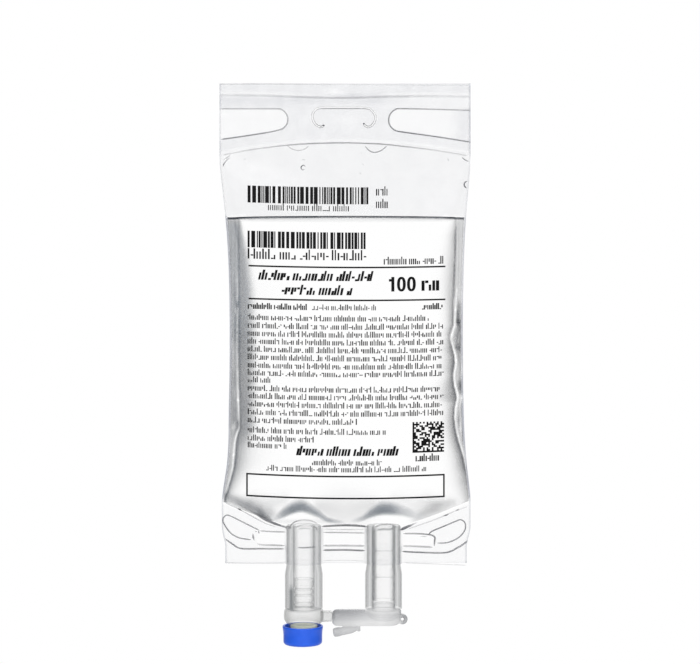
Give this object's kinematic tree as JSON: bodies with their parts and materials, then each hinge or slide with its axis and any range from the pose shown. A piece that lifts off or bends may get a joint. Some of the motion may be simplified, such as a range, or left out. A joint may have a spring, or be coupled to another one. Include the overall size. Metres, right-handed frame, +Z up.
{
  "type": "iv fluid bag",
  "caption": "Clear infusion bag of saline, hung by a slit, with an injection port under a blue cap and a set port sealed by a break-off closure.",
  "frame": {"origin": "the middle of the hanger slit's top line, on the film's mid plane", "axes": "+Z up along the hanging bag, -Y out of the printed front, +X to the right as seen from the front"},
  "size_m": [0.0852, 0.0212, 0.1903],
  "materials": {
    "film": "clear blown film, smooth and glossy",
    "saline": "clear liquid",
    "port_tube": "clear soft tube, slightly hazy",
    "port_insert": "natural moulded plastic, translucent",
    "stopper": "matt, dull yellow-green",
    "blue_cap": "satin blue moulded plastic",
    "closure": "natural moulded plastic, frosted",
    "print_ink": "black printing ink on the film, matt"
  },
  "bodies": {
    "bag": {"bag_film": "film", "saline_fill": "saline", "injection_port_tube": "port_tube", "injection_port_insert": "port_insert", "injection_septum": "stopper", "injection_cap": "blue_cap", "set_port_tube": "port_tube", "set_port_insert": "port_insert"},
    "closure": {"twist_off_closure": "closure"}
  },
  "joints": [
    {"name": "closure_pull_off", "type": "slide", "parent": "bag", "child": "closure", "axis": [0, 0, -1], "range_m": [0, 0.03]}
  ]
}
